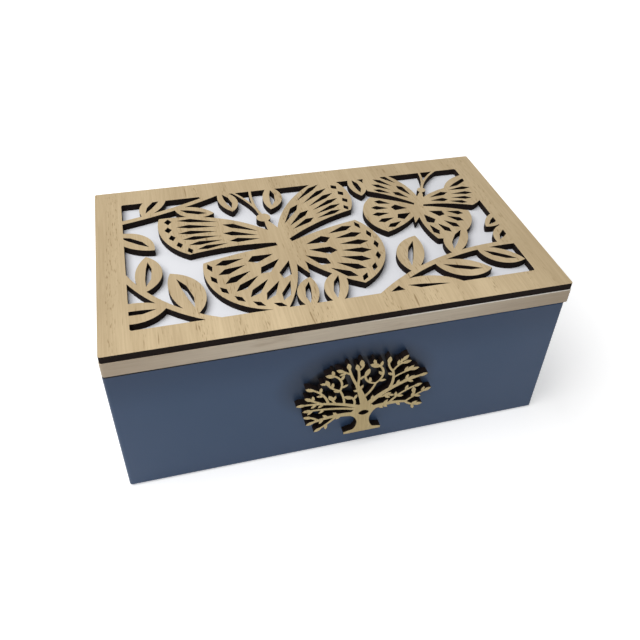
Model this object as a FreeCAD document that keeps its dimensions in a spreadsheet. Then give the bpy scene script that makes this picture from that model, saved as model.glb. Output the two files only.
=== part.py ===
"""Wooden keepsake box with a hinged lid.

The case is four boards with rebated corners and a let-in bottom. The lid is a frame of four rails with
a let-in white board, and a cut-out fretwork panel lies on top. A cut-out tree stands on the front.
Two small brass butt hinges join lid and case along the back.

Frame: millimetres, +Z up, +X to the right along the front, -Y out of the front face.
The origin is the middle of the underside.
"""

import FreeCAD
import Part

import math
import os

import Sketcher
from FreeCAD import Placement, Rotation, Vector

doc = FreeCAD.newDocument("storage_box")

# Driving dimensions, in millimetres
SIZES = {
    # case
    "case_length": 240,
    "case_width": 140,
    "case_height": 85,
    "wall_thickness": 8,
    "joint_lap": 4,
    "bottom_thickness": 4,
    "corner_round": 1.5,
    "foot_ease": 1.3,
    "edge_ease": 0.4,
    # lid
    "lid_overhang": 1.8,
    "lid_rail_height": 9,
    "lid_board_thickness": 3,
    "lid_shift": 1.0,
    # fretwork panel
    "panel_thickness": 4,
    "panel_inset": 0.3,
    "panel_corner": 1.2,
    "border_width": 15,
    "slot_width": 3,
    "rib_width": 1.5,
    "stem_width": 3.4,
    # tree ornament
    "tree_width": 77,
    "tree_height": 58,
    "tree_thickness": 4,
    "tree_foot_height": 14,
    "tree_side_step": 8.7,
    "trunk_width": 7.2,
    "twig_width": 1.2,
    "leaf_length": 5.3,
    "leaf_width": 2.5,
    "hollow_width": 6.2,
    "hollow_height": 3.8,
    # hinges
    "hinge_spacing": 150,
    "hinge_length": 22,
    "hinge_leaf_height": 7.8,
    "hinge_leaf_thickness": 0.8,
    "knuckle_radius": 1.5,
    "knuckle_gap": 0.15,
    "pin_radius": 0.65,
    "pin_overhang": 0.5,
    "pin_clearance": 0.05,
    # hinge tacks
    "tack_spacing": 14,
    "tack_drop": 4.9,
    "tack_head_radius": 1.5,
    "tack_head_height": 0.5,
    "tack_shank_width": 1.1,
    "tack_shank_length": 6,
    "tack_clearance": 0.05,
    # how far a cutting shape stands past what it cuts
    "cut_overrun": 1,
}

KNUCKLE_COUNT = 3
TACK_HEAD_FACETS = 10

sheet = doc.addObject("Spreadsheet::Sheet", "sizes")
for row, (alias, value) in enumerate(SIZES.items(), start=1):
    sheet.set(f"A{row}", alias)
    sheet.set(f"B{row}", str(value))
    sheet.setAlias(f"B{row}", alias)
doc.recompute()


def size(alias):
    """The value of a cell of the sheet."""
    return float(sheet.get(alias))


def bind(target, **expressions):
    """Ties properties of an object to the sheet; __ in a name stands for a dot."""
    for name, expression in expressions.items():
        target.setExpression(name.replace("__", "."), expression)


# Sketch and feature helpers


def new_body(label):
    body = doc.addObject("PartDesign::Body", label)
    body.Label = label
    return body


def new_sketch(body, name, plane_role, offset="0"):
    """A sketch on one of the body's own origin planes, moved along its normal by an expression."""
    sketch = body.newObject("Sketcher::SketchObject", f"{body.Label}_{name}")
    plane = next(f for f in body.Origin.OriginFeatures if f.Role == plane_role)
    sketch.AttachmentSupport = [(plane, "")]
    sketch.MapMode = "FlatFace"
    bind(sketch, AttachmentOffset__Base__z=offset)
    return sketch


def pin_point(sketch, geometry, position, x, y):
    """Fixes one point of a sketch at a pair of expressions."""
    for kind, expression in (("DistanceX", x), ("DistanceY", y)):
        index = sketch.addConstraint(Sketcher.Constraint(kind, -1, 1, geometry, position, 0))
        sketch.setExpression(f"Constraints[{index}]", expression)


def draw_outline(sketch, corners):
    """A closed outline of straight lines through corners, each a pair of expressions."""
    first = sketch.GeometryCount
    count = len(corners)
    places = [tuple(doc_value(e) for e in corner) for corner in corners]
    for index, (x, y) in enumerate(places):
        next_x, next_y = places[(index + 1) % count]
        sketch.addGeometry(Part.LineSegment(Vector(x, y), Vector(next_x, next_y)))
    for index, (x, y) in enumerate(corners):
        pin_point(sketch, first + index, 1, x, y)
        follower = first + (index + 1) % count
        sketch.addConstraint(Sketcher.Constraint("Coincident", first + index, 2, follower, 1))


def draw_circle(sketch, x, y, radius):
    """A circle; its centre and radius are expressions."""
    centre = Vector(doc_value(x), doc_value(y))
    index = sketch.addGeometry(Part.Circle(centre, Vector(0, 0, 1), doc_value(radius)))
    pin_point(sketch, index, 3, x, y)
    constraint = sketch.addConstraint(Sketcher.Constraint("Radius", index, doc_value(radius)))
    sketch.setExpression(f"Constraints[{constraint}]", radius)


def doc_value(expression):
    """The number that an expression of the sheet's values has now."""
    return float(sheet.evalExpression(expression))


def rectangle(left, right, low, high):
    return [(left, low), (right, low), (right, high), (left, high)]


def pad(body, sketch, length, reverse=False):
    feature = body.newObject("PartDesign::Pad", f"{sketch.Name}_pad")
    feature.Profile = sketch
    feature.Reversed = reverse
    bind(feature, Length=length)
    sketch.Visibility = False
    doc.recompute()
    return feature


def pocket(body, sketch, length, reverse=False):
    """Cuts a sketch into the body and makes sure that it took something away."""
    before = body.Shape.Volume
    feature = body.newObject("PartDesign::Pocket", f"{sketch.Name}_pocket")
    feature.Profile = sketch
    feature.Reversed = reverse
    bind(feature, Length=length)
    sketch.Visibility = False
    doc.recompute()
    if not body.Shape.Volume < before:
        raise RuntimeError(f"{feature.Name} cuts nothing")
    return feature


def edge_names(feature, wanted):
    """The names of the edges whose middle point passes a test."""
    names = []
    for index, edge in enumerate(feature.Shape.Edges, start=1):
        middle = edge.valueAt((edge.FirstParameter + edge.LastParameter) / 2)
        if wanted(edge, middle):
            names.append(f"Edge{index}")
    if not names:
        raise RuntimeError(f"no edge found on {feature.Name}")
    return names


def round_edges(body, wanted, radius):
    base = body.Tip
    feature = body.newObject("PartDesign::Fillet", f"{body.Label}_round")
    feature.Base = (base, edge_names(base, wanted))
    bind(feature, Radius=radius)
    doc.recompute()


def bevel_edges(body, wanted, width):
    base = body.Tip
    feature = body.newObject("PartDesign::Chamfer", f"{body.Label}_bevel")
    feature.Base = (base, edge_names(base, wanted))
    bind(feature, Size=width)
    doc.recompute()


# Boards of the case and rails of the lid

NEAR = size("edge_ease") / 4


def is_near(a, b):
    return abs(a - b) < NEAR


def is_level(edge, height):
    return all(is_near(vertex.Point.z, height) for vertex in edge.Vertexes)


def on_outside(point, length):
    """True for a point on or just inside a frame's outline, seen from above."""
    beside_end = doc_value(length) / 2 - abs(point.x) < size("corner_round") / 2
    beside_face = size("case_width") / 2 - abs(point.y) < size("corner_round") / 2
    return beside_end or beside_face


def ease_outline(body, length, height, width):
    """Takes the sharpness off the outer edges of a frame's board at one height."""
    bevel_edges(body, lambda edge, middle: is_level(edge, height) and on_outside(middle, length), width)


def add_board(label, outline, rebate, height, rebate_height, rebate_at_top):
    """A board standing on the XY plane, with a rebate along its lower or upper inside edge."""
    body = new_body(label)
    plan = new_sketch(body, "plan", "XY_Plane")
    draw_outline(plan, outline)
    pad(body, plan, height)
    seat = new_sketch(body, "seat", "XY_Plane", height if rebate_at_top else "0")
    draw_outline(seat, rebate)
    pocket(body, seat, rebate_height, reverse=not rebate_at_top)
    return body


CASE_LENGTH = "sizes.case_length"
LID_LENGTH = "(sizes.case_length + sizes.lid_overhang)"
FACE = "sizes.case_width / 2"
FACE_LAP = "(sizes.case_width / 2 - sizes.joint_lap)"
FACE_INSIDE = "(sizes.case_width / 2 - sizes.wall_thickness)"


def ends(length):
    """Outside, lap and inside of the right end of a frame of this length, as expressions."""
    end = f"{length} / 2"
    return end, f"({end} - sizes.joint_lap)", f"({end} - sizes.wall_thickness)"


def long_board(label, side, length, height, rebate_height, rebate_at_top):
    """Front (side -1) or back (side 1) board: its ends are rebated to take the short boards."""
    outer, lap, inside = (f"{side} * {y}" for y in (FACE, FACE_LAP, FACE_INSIDE))
    end, _, end_inside = ends(length)
    outline = [
        (f"-{end}", outer),
        (end, outer),
        (end, lap),
        (end_inside, lap),
        (end_inside, inside),
        (f"-{end_inside}", inside),
        (f"-{end_inside}", lap),
        (f"-{end}", lap),
    ]
    seat = rectangle(f"-{end_inside}", end_inside, lap, inside)
    body = add_board(label, outline, seat, height, rebate_height, rebate_at_top)
    half_length = doc_value(length) / 2
    half_width = size("case_width") / 2
    round_edges(
        body,
        lambda edge, middle: is_near(abs(middle.x), half_length) and is_near(abs(middle.y), half_width),
        "sizes.corner_round",
    )
    return body


def short_board(label, side, length, height, rebate_height, rebate_at_top):
    """Left (side -1) or right (side 1) board, square at both ends."""
    outer, lap, inside = (f"{side} * {x}" for x in ends(length))
    outline = rectangle(inside, outer, f"-{FACE_LAP}", FACE_LAP)
    seat = rectangle(inside, lap, f"-{FACE_LAP}", FACE_LAP)
    return add_board(label, outline, seat, height, rebate_height, rebate_at_top)


def inner_board(label, length, thickness, height="0"):
    """A board that fills the rebate of a frame, at a height over the frame's underside."""
    body = new_body(label)
    plan = new_sketch(body, "plan", "XY_Plane", height)
    _, lap, _ = ends(length)
    draw_outline(plan, rectangle(f"-{lap}", lap, f"-{FACE_LAP}", FACE_LAP))
    pad(body, plan, thickness)
    return body


def four_boards(names, length, height, rebate_height, rebate_at_top):
    """Front, back, left and right board of one frame."""
    front, back, left, right = names
    sizes = (length, height, rebate_height, rebate_at_top)
    return [
        long_board(front, -1, *sizes),
        long_board(back, 1, *sizes),
        short_board(left, -1, *sizes),
        short_board(right, 1, *sizes),
    ]


def make_case():
    """Walls of the case, eased at the foot and at the seam, and the bottom panel in its rebate."""
    names = ("front_wall", "back_wall", "left_wall", "right_wall")
    walls = four_boards(names, CASE_LENGTH, "sizes.case_height", "sizes.bottom_thickness", False)
    for wall in walls:
        ease_outline(wall, CASE_LENGTH, 0, "sizes.foot_ease")
        ease_outline(wall, CASE_LENGTH, size("case_height"), "sizes.edge_ease")
    cut_tack_holes(walls[1], "sizes.case_height - sizes.tack_drop")
    return walls + [inner_board("bottom_panel", CASE_LENGTH, "sizes.bottom_thickness")]


def place_on_case(piece):
    """The lid's pieces are drawn about the lid's own underside; this sets them on the case."""
    bind(piece, Placement__Base__x="sizes.lid_shift", Placement__Base__z="sizes.case_height")


def make_lid_frame():
    """Rails of the lid, eased all round, and the board that lies in their upper rebate."""
    names = ("lid_front_rail", "lid_back_rail", "lid_left_rail", "lid_right_rail")
    rails = four_boards(names, LID_LENGTH, "sizes.lid_rail_height", "sizes.lid_board_thickness", True)
    for rail in rails:
        ease_outline(rail, LID_LENGTH, 0, "sizes.edge_ease")
        ease_outline(rail, LID_LENGTH, size("lid_rail_height"), "sizes.edge_ease")
    cut_tack_holes(rails[1], "sizes.tack_drop", "-sizes.lid_shift")
    seat_height = "sizes.lid_rail_height - sizes.lid_board_thickness"
    board = inner_board("lid_board", LID_LENGTH, "sizes.lid_board_thickness", seat_height)
    pieces = rails + [board]
    for piece in pieces:
        place_on_case(piece)
    return pieces


# Hinges along the back

HINGE_SIDES = {"left": -1, "right": 1}
AXIS_DEPTH = "(sizes.case_width / 2 + sizes.knuckle_radius)"
TACK_HOLE_HALF = "(sizes.tack_shank_width / 2 + sizes.tack_clearance)"


def hinge_middle(side):
    return f"{side} * sizes.hinge_spacing / 2"


def tack_places():
    """The place along X of each tack of a row, as expressions."""
    return [
        f"({hinge_middle(side)} + {end} * sizes.tack_spacing / 2)"
        for side in HINGE_SIDES.values()
        for end in (-1, 1)
    ]


def draw_tack_hole(sketch, x, y):
    """A square hole that a tack's shank goes through."""
    left, right = (f"{x} {sign} {TACK_HOLE_HALF}" for sign in "-+")
    low, high = (f"{y} {sign} {TACK_HOLE_HALF}" for sign in "-+")
    draw_outline(sketch, rectangle(left, right, low, high))


def cut_tack_holes(board, height, shift="0"):
    """Holes for one row of hinge tacks, into a board's back face."""
    holes = new_sketch(board, "tack_holes", "XZ_Plane", f"-{FACE}")
    for place in tack_places():
        draw_tack_hole(holes, f"{place} + {shift}", height)
    depth = "sizes.tack_shank_length - sizes.hinge_leaf_thickness + sizes.tack_clearance"
    pocket(board, holes, depth, reverse=True)


def draw_leaf_section(sketch, turn):
    """Section of a hinge leaf: a flat plate that runs into a round knuckle with a bore.

    turn is 1 where the plate stands up and -1 where it hangs down. The sketch's x is the row's Y."""
    radius = size("knuckle_radius")
    depth = radius - size("hinge_leaf_thickness")
    rise = math.sqrt(radius**2 - depth**2)
    reach = size("hinge_leaf_height")
    axis = Vector(doc_value(AXIS_DEPTH), 0)

    def at(across, up):
        return axis + Vector(across, turn * up)

    corners = [at(-depth, rise), at(-depth, reach), at(-radius, reach), at(-radius, 0)]
    for start, end in zip(corners, corners[1:]):
        sketch.addGeometry(Part.LineSegment(start, end))
    far_side = at(depth, -rise)
    sketch.addGeometry(Part.Arc(corners[-1], far_side, corners[0]))
    draw_circle(sketch, AXIS_DEPTH, "0", "sizes.pin_radius + sizes.pin_clearance")


def hinge_leaf(label, side, turn):
    """One leaf of a butt hinge. The case's leaf (turn -1) has the odd knuckles, the lid's the even ones."""
    body = new_body(label)
    middle = hinge_middle(side)
    section = new_sketch(body, "section", "YZ_Plane", f"{middle} - sizes.hinge_length / 2")
    draw_leaf_section(section, turn)
    pad(body, section, "sizes.hinge_length")

    knuckle = f"(sizes.hinge_length / {KNUCKLE_COUNT})"
    gaps = new_sketch(body, "gaps", "XZ_Plane", f"-{FACE} - 2 * sizes.knuckle_radius - sizes.cut_overrun")
    reach = "(sizes.knuckle_radius + sizes.knuckle_gap)"
    for index in range(1 if turn < 0 else 0, KNUCKLE_COUNT, 2):
        left = f"{middle} - sizes.hinge_length / 2 + {index} * {knuckle}"
        starts_outside = index == 0
        ends_outside = index == KNUCKLE_COUNT - 1
        start = f"{left} - {'sizes.cut_overrun' if starts_outside else 'sizes.knuckle_gap'}"
        end = f"{left} + {knuckle} + {'sizes.cut_overrun' if ends_outside else 'sizes.knuckle_gap'}"
        draw_outline(gaps, rectangle(start, end, f"-{reach}", reach))
    pocket(body, gaps, "2 * sizes.knuckle_radius + 2 * sizes.cut_overrun", reverse=True)

    holes = new_sketch(body, "holes", "XZ_Plane", f"-{FACE} - sizes.hinge_leaf_thickness")
    for end in (-1, 1):
        draw_tack_hole(holes, f"{middle} + {end} * sizes.tack_spacing / 2", f"{turn} * sizes.tack_drop")
    pocket(body, holes, "sizes.hinge_leaf_thickness", reverse=True)
    bind(body, Placement__Base__z="sizes.case_height")
    doc.recompute()
    return body


def hinge_pin(label, side):
    """Pin through all the knuckles of a hinge."""
    pin = doc.addObject("Part::Cylinder", label)
    pin.Label = label
    bind(
        pin,
        Radius="sizes.pin_radius",
        Height="sizes.hinge_length + 2 * sizes.pin_overhang",
        Placement__Base__x=f"{hinge_middle(side)} - sizes.hinge_length / 2 - sizes.pin_overhang",
        Placement__Base__y=AXIS_DEPTH,
        Placement__Base__z="sizes.case_height",
    )
    pin.Placement.Rotation = Rotation(Vector(0, 1, 0), 90)
    doc.recompute()
    return pin


def hinge_tack(name, place, height):
    """Tack with a faceted head on the leaf and a square shank in the wood."""
    leaf_face = "(sizes.case_width / 2 + sizes.hinge_leaf_thickness)"
    head = doc.addObject("Part::Prism", f"{name}_head")
    head.Polygon = TACK_HEAD_FACETS
    bind(
        head,
        Circumradius="sizes.tack_head_radius",
        Height="sizes.tack_head_height",
        Placement__Base__x=place,
        Placement__Base__y=f"{leaf_face} + sizes.tack_head_height",
        Placement__Base__z=height,
    )
    head.Placement.Rotation = Rotation(Vector(1, 0, 0), 90)
    shank = doc.addObject("Part::Box", f"{name}_shank")
    bind(
        shank,
        Length="sizes.tack_shank_width",
        Width="sizes.tack_shank_length",
        Height="sizes.tack_shank_width",
        Placement__Base__x=f"{place} - sizes.tack_shank_width / 2",
        Placement__Base__y=f"{leaf_face} - sizes.tack_shank_length",
        Placement__Base__z=f"{height} - sizes.tack_shank_width / 2",
    )
    tack = doc.addObject("Part::MultiFuse", name)
    tack.Shapes = [head, shank]
    return tack


def tack_row(label, turn):
    """The tacks of the case's leaves (turn -1) or of the lid's leaves (turn 1), as one group."""
    height = f"(sizes.case_height + {turn} * sizes.tack_drop)"
    group = doc.addObject("Part::Compound", label)
    group.Label = label
    group.Links = [hinge_tack(f"{label}_{n}", place, height) for n, place in enumerate(tack_places())]
    doc.recompute()
    return group


def make_hinges():
    pieces = []
    for name, side in HINGE_SIDES.items():
        pieces.append(hinge_leaf(f"{name}_hinge_case_leaf", side, -1))
        pieces.append(hinge_leaf(f"{name}_hinge_lid_leaf", side, 1))
        pieces.append(hinge_pin(f"{name}_hinge_pin", side))
    pieces.append(tack_row("case_hinge_tacks", -1))
    pieces.append(tack_row("lid_hinge_tacks", 1))
    return pieces


# Flat cut-out work: every outline is made of straight lines and circular arcs


STRAIGHT_SINE = 1e-6


def line(start, end):
    return Part.LineSegment(start, end).toShape()


class Bow:
    """A circular arc from start to end whose middle stands `rise` to the left of the straight way."""

    def __init__(self, start, end, rise=0.0):
        self.start, self.end, self.rise = start, end, rise
        self.length = (end - start).Length
        self.along = (end - start) / self.length
        self.left = Vector(-self.along.y, self.along.x)
        self.half_turn = 2 * math.atan2(2 * rise, self.length)

    def is_straight(self):
        return abs(math.sin(self.half_turn)) < STRAIGHT_SINE

    def turn_at(self, share):
        return self.half_turn * (1 - 2 * share)

    def direction(self, share):
        turn = self.turn_at(share)
        return self.along * math.cos(turn) + self.left * math.sin(turn)

    def point(self, share, aside=0.0):
        """A point at a share of the way, moved aside to the left of the path."""
        way = self.direction(share)
        normal = Vector(-way.y, way.x)
        if self.is_straight():
            return self.start + self.along * (share * self.length) + normal * aside
        radius = self.length / (2 * math.sin(self.half_turn))
        turn = self.turn_at(share)
        middle = (self.start + self.end) / 2
        across = -radius * math.sin(turn)
        up = radius * (math.cos(turn) - math.cos(self.half_turn))
        return middle + self.along * across + self.left * up + normal * aside

    def first_part(self, share):
        """The path from its start to a share of the way."""
        end = self.point(share)
        return Bow(self.start, end, (end - self.start).Length / 2 * math.tan(self.half_turn * share / 2))

    def edge(self):
        if self.is_straight():
            return line(self.start, self.end)
        return Part.Arc(self.start, self.point(0.5), self.end).toShape()


def bowed(start, end, bow_share):
    """An arc whose rise is a share of the straight way from start to end."""
    return Bow(start, end, bow_share * (end - start).Length)


def through(start, middle, end):
    """Arc through three points."""
    chord = Bow(start, end)
    return Bow(start, end, (middle - start).dot(chord.left)).edge()


def face_of(*edges):
    """A flat face inside a closed row of edges that runs anticlockwise, seen from above."""
    face = Part.Face(Part.Wire(list(edges)))
    if face.normalAt(0, 0).z < 0:
        raise RuntimeError("an outline runs clockwise")
    return face


def lens(path, width):
    """A pointed leaf shape along a path: an arc on each side, widest in the middle."""
    right = Bow(path.start, path.end, path.rise - width / 2)
    left = Bow(path.end, path.start, -path.rise - width / 2)
    return face_of(right.edge(), left.edge())


def band(path, start_width, end_width):
    """A strip along a path that tapers from one width to the other."""
    widths = ((0, start_width), (0.5, (start_width + end_width) / 2), (1, end_width))
    right = [path.point(share, -width / 2) for share, width in widths]
    left = [path.point(share, width / 2) for share, width in reversed(widths)]
    return face_of(
        through(*right),
        line(right[-1], left[0]),
        through(*left),
        line(left[-1], right[0]),
    )


def disc(centre, radius):
    return face_of(Part.Circle(centre, Vector(0, 0, 1), radius).toShape())


def polygon(points):
    """A face with straight sides."""
    return Part.Face(Part.makePolygon(list(points) + [points[0]]))


def sliver(path, width, full_shares):
    """A pointed shape with straight sides along a path, at its full width at the given shares of the way."""
    right = [path.point(share, -width / 2) for share in full_shares]
    left = [path.point(share, width / 2) for share in reversed(full_shares)]
    return polygon([path.start, *right, path.end, *left])


def small_leaf(path, width, corner_shares):
    """A pointed leaf with straight facets; at a share s of the way it has 4 s (1 - s) of its width."""
    half_widths = [(share, width * 2 * share * (1 - share)) for share in corner_shares]
    right = [path.point(share, -half_width) for share, half_width in half_widths]
    left = [path.point(share, half_width) for share, half_width in reversed(half_widths)]
    return polygon([path.start, *right, path.end, *left])


def polar(centre, radius, degrees):
    angle = math.radians(degrees)
    return centre + Vector(radius * math.cos(angle), radius * math.sin(angle))


def turned_way(way, degrees):
    """A direction turned anticlockwise."""
    angle = math.radians(degrees)
    return Vector(
        way.x * math.cos(angle) - way.y * math.sin(angle),
        way.x * math.sin(angle) + way.y * math.cos(angle),
    )


def joined(faces):
    """One flat face (or several, where they don't meet) that covers all the given ones."""
    return Part.Shell(faces[0].multiFuse(faces[1:]).Faces).removeSplitter()


def without_pinholes(outline, least_width):
    """The same flat faces with every hole closed that is smaller than a square of the given width."""
    faces = []
    for face in outline.Faces:
        holes = [wire for wire in face.Wires if not wire.isSame(face.OuterWire)]
        open_holes = [wire for wire in holes if Part.Face(wire).Area > least_width**2]
        faces.append(Part.Face([face.OuterWire, *open_holes]))
    return Part.makeCompound(faces) if len(faces) > 1 else faces[0]


def cut_out(label, outline, thickness):
    """A sheet of the given thickness with a flat outline, drawn on the XY plane."""
    drawing = doc.addObject("Part::Feature", f"{label}_drawing")
    drawing.Shape = outline
    drawing.Visibility = False
    piece = doc.addObject("Part::Extrusion", label)
    piece.Label = label
    piece.Base = drawing
    piece.DirMode = "Custom"
    piece.Dir = Vector(0, 0, 1)
    piece.Solid = True
    bind(piece, LengthFwd=thickness)
    doc.recompute()
    return piece


# Fretwork panel: two butterflies and leafy sprays that grow out of the border

# A wing's corners across and along the body, as shares of half the span: root and outer corner below, outer
# corner and root above. Then the bows of the edge below, the margin and the edge above.
UPPER_WING_SHARES = ((0.00, -0.05), (0.86, 0.16), (0.93, 0.84), (0.00, 0.10)), (0.05, -0.16, -0.12)
LOWER_WING_SHARES = ((0.00, -0.26), (0.38, -0.92), (0.80, -0.02), (0.00, -0.08)), (-0.07, -0.24, -0.03)
# Rings of wing cells: where a cell starts, is widest and ends on the way from the wing's root to its margin
CELL_RING_SHARES = ((0.20, 0.42, 0.50), (0.54, 0.76, 0.86), (0.895, 0.925, 0.955))
BODY_SHARES = (-0.58, 0.42)
BODY_WIDTH_SHARE = 0.15
HEAD_SHARES = (0.42, 0.07)
ANTENNA_SHARES = (0.30, 1.30, 0.10)

# Butterflies: middle along and across the window, half the span as a share of the window's half width, lean
# in degrees, and the cells in the rings of the upper and of the lower wing
BUTTERFLY_SHARES = [
    (-0.20, 0.03, 1.06, 14, (3, 6, 5), (3, 7, 6)),
    (0.64, 0.38, 0.68, -26, (2, 4), (2, 5)),
]

# Sprays: root and tip along and across the window, bow, count of leaves, the first leaf's side (1 is left)
# and its length as a share of the stem's
SPRAY_SHARES = [
    (0.16, -1.06, 1.06, -0.52, 0.10, 6, -1, 0.38),
    (-0.56, -1.06, -1.06, 0.02, 0.12, 4, -1, 0.50),
    (-1.06, 0.64, -0.40, 1.10, -0.04, 3, 1, 0.40),
]
# Leaves that grow out of the border: root and tip along and across the window
BORDER_LEAF_SHARES = [
    (-0.17, 1.06, -0.20, 0.60),
    (-0.04, -1.06, 0.03, -0.58),
    (1.06, 0.86, 0.84, 0.60),
    (0.32, 1.06, 0.34, 0.66),
    (-1.06, 0.44, -0.85, 0.12),
    (-0.46, 1.06, -0.41, 0.64),
    (-0.17, -1.06, -0.13, -0.62),
    (1.06, 0.06, 0.92, -0.20),
]
LEAF_SLIMNESS_SHARE = 0.46
LEAF_BEND_SHARE = 0.07
LEAST_LEAF_SHARE = 0.60
SPRAY_LEAN_DEGREES = 42

# A leaf's slot: where it starts and ends, where it has its full width, and how it bends, as shares
MIDRIB_SHARES = (0.16, 0.84)
MIDRIB_FULL_SHARES = (0.3, 0.7)
MIDRIB_BEND_SHARE = 0.46


class Butterfly:
    """Where a butterfly lies: a middle, half a span, and the ways across and along its body."""

    def __init__(self, middle, half_span, lean_degrees):
        self.middle, self.half_span = middle, half_span
        self.across = turned_way(Vector(1, 0), lean_degrees)
        self.along = turned_way(Vector(0, 1), lean_degrees)

    def at(self, across_share, along_share):
        return self.middle + (self.across * across_share + self.along * along_share) * self.half_span


class Fretwork:
    """Collects the wood and the slots of the fretwork panel, about the panel's middle."""

    def __init__(self):
        self.half_length = doc_value(LID_LENGTH) / 2 - size("border_width")
        self.half_width = size("case_width") / 2 - size("border_width")
        self.rib = size("rib_width")
        self.wood = []
        self.slots = []

    def place(self, along_share, across_share):
        return Vector(along_share * self.half_length, across_share * self.half_width)

    def add_leaf(self, base, tip, bend_share):
        """A leaf with a pointed slot for its midrib."""
        path = bowed(base, tip, bend_share)
        self.wood.append(lens(path, LEAF_SLIMNESS_SHARE * path.length))
        start, end = (path.point(share) for share in MIDRIB_SHARES)
        midrib = Bow(start, end, MIDRIB_BEND_SHARE * path.rise)
        self.slots.append(sliver(midrib, size("slot_width"), MIDRIB_FULL_SHARES))

    def add_spray(self, row):
        """A bowed stem between two places of the border, with leaves on either side by turns."""
        root_along, root_across, tip_along, tip_across, bow, count, side, leaf_share = row
        stem = bowed(self.place(root_along, root_across), self.place(tip_along, tip_across), bow)
        self.wood.append(band(stem, size("stem_width"), size("stem_width")))
        for index in range(count):
            place = (index + 1) / (count + 1)
            base = stem.point(place)
            way = turned_way(stem.direction(place), side * SPRAY_LEAN_DEGREES)
            length = leaf_share * stem.length * (1 - (1 - LEAST_LEAF_SHARE) * place)
            self.add_leaf(base, base + way * length, side * LEAF_BEND_SHARE)
            side = -side

    def add_wing(self, fly, side, wing_shares, counts):
        """A wing with a rounded margin, and rings of pointed cells that spread from its root."""
        corners, bows = wing_shares
        root_low, low, high, root_high = (fly.at(side * across, along) for across, along in corners)
        low_bow, margin_bow, high_bow = (side * bow for bow in bows)
        margin = bowed(low, high, margin_bow)
        below = bowed(root_low, low, low_bow)
        above = bowed(high, root_high, high_bow)
        sides = [below, margin, above, Bow(root_high, root_low)]
        if side < 0:
            sides = [Bow(path.end, path.start, -path.rise) for path in reversed(sides)]
        self.wood.append(face_of(*(path.edge() for path in sides)))
        root = (root_low + root_high) / 2
        for (start, widest, end), count in zip(CELL_RING_SHARES, counts):
            width = widest * margin.length / count - self.rib
            for index in range(count):
                share = (index + 0.5) / count
                vein = bowed(root, margin.point(share), low_bow - share * (low_bow + high_bow))
                cell = [vein.point(start), vein.point(widest, -width / 2)]
                cell += [vein.point(end), vein.point(widest, width / 2)]
                self.slots.append(polygon(cell))

    def add_butterfly(self, row):
        """Body, head and antennae, and two pairs of wings."""
        along, across, span_share, lean, upper_counts, lower_counts = row
        fly = Butterfly(self.place(along, across), span_share * self.half_width, lean)
        tail, neck = (fly.at(0, share) for share in BODY_SHARES)
        head_place, head_share = HEAD_SHARES
        head = fly.at(0, head_place)
        self.wood.append(lens(Bow(tail, neck), BODY_WIDTH_SHARE * fly.half_span))
        self.wood.append(disc(head, head_share * fly.half_span))
        antenna_across, antenna_along, antenna_bow = ANTENNA_SHARES
        for side in (-1, 1):
            self.add_wing(fly, side, UPPER_WING_SHARES, upper_counts)
            self.add_wing(fly, side, LOWER_WING_SHARES, lower_counts)
            antenna = bowed(head, fly.at(side * antenna_across, antenna_along), side * antenna_bow)
            self.wood.append(band(antenna, self.rib, self.rib))

    def outline(self):
        """The panel's flat outline: the border, and the motifs less their slots, which end at the border."""
        half_length = doc_value(LID_LENGTH) / 2 - size("panel_inset")
        half_width = size("case_width") / 2 - size("panel_inset")
        outer = rounded_rectangle(half_length, half_width, size("panel_corner"))
        window = rounded_rectangle(self.half_length, self.half_width, size("panel_corner"))
        border = outer.cut(window)
        motifs = joined(self.wood).cut(Part.makeCompound(self.slots))
        return without_pinholes(joined(border.Faces + motifs.Faces).common(outer), self.rib)


def rounded_rectangle(half_length, half_width, radius):
    """A rectangle about the origin with round corners."""
    corners = []
    for quarter, (x, y) in enumerate([(1, 1), (-1, 1), (-1, -1), (1, -1)]):
        centre = Vector(x * (half_length - radius), y * (half_width - radius))
        corners.append([polar(centre, radius, 90 * quarter + turn) for turn in (0, 45, 90)])
    edges = []
    for corner, following in zip(corners, corners[1:] + corners[:1]):
        edges.append(Part.Arc(*corner).toShape())
        edges.append(line(corner[-1], following[0]))
    return face_of(*edges)


def make_fretwork_panel():
    art = Fretwork()
    for row in BUTTERFLY_SHARES:
        art.add_butterfly(row)
    for row in SPRAY_SHARES:
        art.add_spray(row)
    for root_along, root_across, tip_along, tip_across in BORDER_LEAF_SHARES:
        art.add_leaf(art.place(root_along, root_across), art.place(tip_along, tip_across), LEAF_BEND_SHARE)
    panel = cut_out("fretwork_panel", art.outline(), "sizes.panel_thickness")
    bind(
        panel,
        Placement__Base__x="sizes.lid_shift",
        Placement__Base__z="sizes.case_height + sizes.lid_rail_height",
    )
    return panel


# Tree ornament: a trunk on a flared foot, and bowed limbs that branch and end in leaves

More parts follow.
